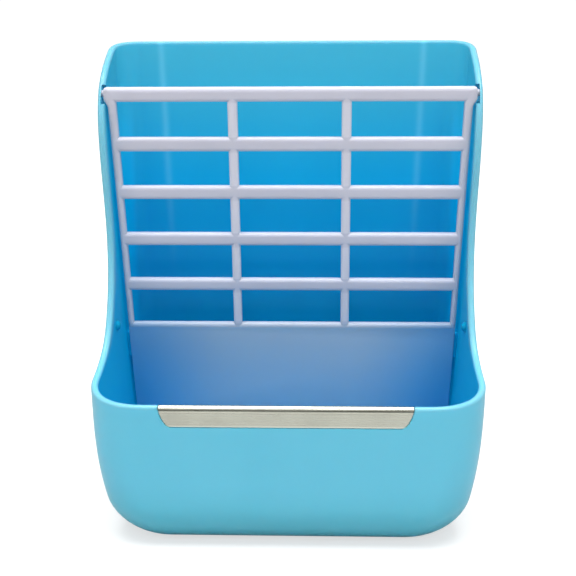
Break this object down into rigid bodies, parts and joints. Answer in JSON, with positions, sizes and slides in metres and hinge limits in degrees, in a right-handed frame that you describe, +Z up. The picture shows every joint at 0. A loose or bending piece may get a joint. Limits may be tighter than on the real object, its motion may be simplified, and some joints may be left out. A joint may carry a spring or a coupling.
{
  "type": "rabbit hay and feed hopper",
  "caption": "Rabbit feeder: moulded shell with a front feed trough, a barred hay grille with a solid baffle, a steel chew guard on the rim and spring hanging hooks.",
  "frame": {"origin": "centre of the flat underside of the trough, on the floor plane", "axes": "+X to the feeder's right seen from the front, front of the trough towards -Y, +Z up"},
  "size_m": [0.1834, 0.1259, 0.2282],
  "materials": {
    "shell_plastic": "glossy sky-blue moulded polypropylene",
    "grille_plastic": "semi-gloss pale lavender-white moulded plastic",
    "guard_steel": "satin rolled stainless sheet",
    "wire_steel": "bright drawn wire",
    "spring_steel": "zinc-plated spring wire"
  },
  "bodies": {
    "shell": {"hopper_shell": "shell_plastic", "chew_guard": "guard_steel", "hook_spring_left": "spring_steel", "hook_spring_right": "spring_steel"},
    "grille": {"hay_grille": "grille_plastic"},
    "left_hook": {"hook_left": "wire_steel", "hook_washer_left": "wire_steel"},
    "right_hook": {"hook_right": "wire_steel", "hook_washer_right": "wire_steel"}
  },
  "joints": [
    {"name": "grille_swing", "type": "hinge", "parent": "shell", "child": "grille", "pos_m": [0, 0.01469, 0.20339], "axis": [-1, 0, 0], "range_deg": [0, 24]},
    {"name": "hook_left_pull", "type": "slide", "parent": "shell", "child": "left_hook", "axis": [0, 0, 1], "range_m": [0, 0.012], "stiffness_N_per_m": 400, "springref_m": -0.004, "deforming": ["hook_spring_left"]},
    {"name": "hook_right_pull", "type": "slide", "parent": "shell", "child": "right_hook", "axis": [0, 0, 1], "range_m": [0, 0.012], "stiffness_N_per_m": 400, "springref_m": -0.004, "deforming": ["hook_spring_right"]}
  ]
}
